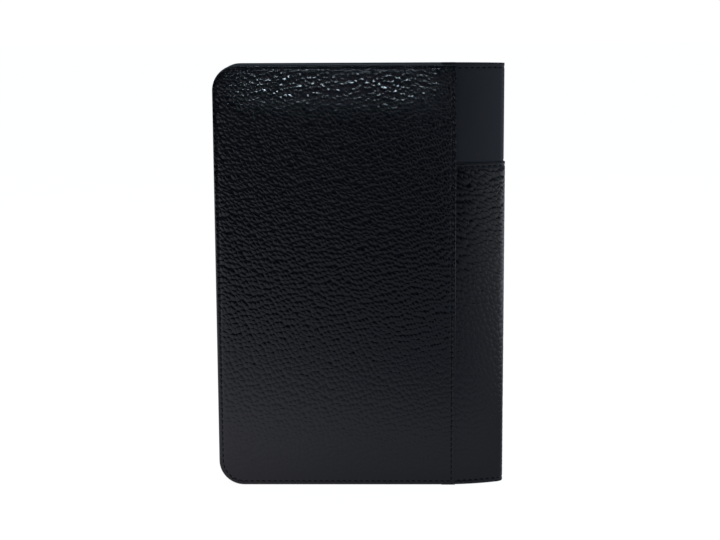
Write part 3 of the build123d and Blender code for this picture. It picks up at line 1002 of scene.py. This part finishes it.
FLOOR_REACH = 6.0
FLOOR_STRENGTH = 0.96
FLOOR_GREY = 0.25  # this part of the floor takes the case's shadow
WORLD_COLOUR = (0.80, 0.97, 1.30)
WORLD_STRENGTHS = (0.085, 0.45)  # from -X, and from +X
BACKDROP_STRENGTH = 1.05

# Lights, in metres, degrees and watts.
LIGHT_COLOUR = (0.76, 0.97, 1.11)
BEAM_AZIMUTHS = range(-15, 16, 5)
BEAM_ELEVATION = 18.0
BEAM_DISTANCE = 0.30
BEAM_WIDTH = 0.095
BEAM_HEIGHT = 0.008
BEAM_SPREAD = 4.2
BEAM_WATTS = 0.00018
BEAM_TARGET = Vector((-0.010, 0.0105, 0.198))
ABOVE_PLACE = (-0.25, 0.50, 0.80)
ABOVE_TARGET = (0.0, 0.0, 0.1)
ABOVE_SIZE = (1.2, 0.5)
ABOVE_WATTS = 1.1


def end_tree(tree, kind, lighting, seen):
    """Ends a tree: one shader lights the case, and the camera sees the other."""
    path = node(tree, "ShaderNodeLightPath").outputs["Is Camera Ray"]
    mixed = node(tree, "ShaderNodeMixShader", {0: path, 1: lighting, 2: seen}).outputs[0]
    node(tree, kind, {"Surface": mixed})


def white_floor():
    """White floor that also lights the case from below."""
    floor_mesh = bpy.data.meshes.new("floor")
    corners = [(x * FLOOR_REACH, y * FLOOR_REACH, 0.0) for x, y in ((-1, -1), (1, -1), (1, 1), (-1, 1))]
    floor_mesh.from_pydata(corners, [], [(0, 1, 2, 3)])
    floor = new_object("floor", floor_mesh)
    made = bpy.data.materials.new("floor")
    made.use_nodes = True
    tree = made.node_tree
    tree.nodes.clear()
    place = node(tree, "ShaderNodeNewGeometry").outputs["Position"]
    x, y, _ = node(tree, "ShaderNodeSeparateXYZ", {0: place}).outputs
    either_side = node(tree, "ShaderNodeCombineXYZ", {0: x, 1: maths(tree, "ABSOLUTE", y)}).outputs[0]
    glow = None
    for centre, near, far, strength, colour in GLOWS:
        away = node(tree, "ShaderNodeVectorMath", {0: either_side, 1: centre}, operation="DISTANCE")
        fading = ramp(tree, away.outputs["Value"], near, far, strength, 0.0)
        pool = node(tree, "ShaderNodeEmission", {"Strength": fading, "Color": (*colour, 1)}).outputs[0]
        glow = node(tree, "ShaderNodeAddShader", {0: glow, 1: pool}).outputs[0] if glow else pool
    white = node(tree, "ShaderNodeEmission", {"Strength": FLOOR_STRENGTH}).outputs[0]
    plain = node(tree, "ShaderNodeBsdfDiffuse", {"Color": (FLOOR_GREY, FLOOR_GREY, FLOOR_GREY, 1)}).outputs[0]
    seen = node(tree, "ShaderNodeAddShader", {0: white, 1: plain}).outputs[0]
    end_tree(tree, "ShaderNodeOutputMaterial", glow, seen)
    floor_mesh.materials.append(made)


def studio_world():
    """Dim surroundings, brighter toward +X, with a white backdrop."""
    world = bpy.data.worlds.new("studio")
    bpy.context.scene.world = world
    world.use_nodes = True
    tree = world.node_tree
    tree.nodes.clear()
    direction = node(tree, "ShaderNodeTexCoord").outputs["Generated"]
    toward_x = node(tree, "ShaderNodeSeparateXYZ", {0: direction}).outputs[0]
    strength = ramp(tree, toward_x, 0.0, 1.0, *WORLD_STRENGTHS)
    dim = node(tree, "ShaderNodeBackground", {"Color": (*WORLD_COLOUR, 1), "Strength": strength})
    clear = node(tree, "ShaderNodeBackground", {"Color": (1, 1, 1, 1), "Strength": BACKDROP_STRENGTH})
    end_tree(tree, "ShaderNodeOutputWorld", dim.outputs[0], clear.outputs[0])
    bpy.context.scene.view_settings.view_transform = "Standard"


def light(name, place, target, size, watts, spread=180.0):
    """Soft rectangular light that the camera doesn't see."""
    data = bpy.data.lights.new(name, "AREA")
    data.shape = "RECTANGLE"
    data.size, data.size_y = size
    data.energy = watts
    data.color = LIGHT_COLOUR
    data.spread = math.radians(spread)
    made = new_object(name, data)
    made.location = Vector(place)
    made.rotation_euler = (Vector(target) - Vector(place)).to_track_quat("-Z", "Y").to_euler()
    made.visible_camera = False


def lights():
    """Arc of narrow beams on the top of each cover, and a top light on each side."""
    tilt = math.radians(BEAM_ELEVATION)
    for side, name in ((BACK, "front"), (FRONT, "rear")):
        flip = Vector((1, side, 1))
        for number, azimuth in enumerate(BEAM_AZIMUTHS):
            turn = math.radians(azimuth)
            away = Vector((math.sin(turn) * math.cos(tilt), math.cos(turn) * math.cos(tilt), math.sin(tilt)))
            place = BEAM_TARGET + BEAM_DISTANCE * away
            size = (BEAM_WIDTH * math.cos(turn), BEAM_HEIGHT)
            light(f"{name}_beam_{number}", place * flip, BEAM_TARGET * flip, size, BEAM_WATTS, BEAM_SPREAD)
        light(f"{name}_above", Vector(ABOVE_PLACE) * flip, ABOVE_TARGET, ABOVE_SIZE, ABOVE_WATTS)


def camera():
    """Camera at the photo's viewing angle: a little above the case, looking down at its back cover."""
    data = bpy.data.cameras.new("camera")
    data.sensor_width = 36.0
    data.lens = 84.22
    made = new_object("camera", data)
    pitch, yaw, roll = math.radians(9.765), math.radians(1.14), math.radians(-0.313)
    turn = (Matrix.Rotation(yaw, 4, "Z") @ Matrix.Rotation(math.pi / 2 - pitch, 4, "X")
            @ Matrix.Rotation(roll, 4, "Z"))
    made.matrix_world = Matrix.Translation((0.01618, -0.82522, 0.24996)) @ turn
    bpy.context.scene.camera = made


# ---- CAD nodes that stay ----
NODE_MATERIALS = {
    "grained_leather": LEATHER, "smooth_leather": SMOOTH, "pocket_leather": SMOOTH, "lining": SUEDE,
    "thread": THREAD, "foam": FOAM, "board": BOARD, "magnet": MAGNET,
}


def dress_nodes():
    """Gives every CAD node the material of its slot."""
    for node_name, slot in SLOT_OF.items():
        mesh = frame["nodes"][node_name].data
        mesh.materials.clear()
        mesh.materials.append(NODE_MATERIALS[slot])


dress_nodes()
for cover_side, cover_name, cover_seed in ((BACK, "back", 0.0), (FRONT, "front", 1.0)):
    cover_panel(cover_side, f"{cover_name}_panel", f"{cover_name}_cover", cover_seed)
    cover_stitches(cover_side, cover_name, f"{cover_name}_cover", cover_seed)
build_spine()
spine_stitches()
holder()
pockets()
top_flap()
white_floor()
studio_world()
lights()
camera()
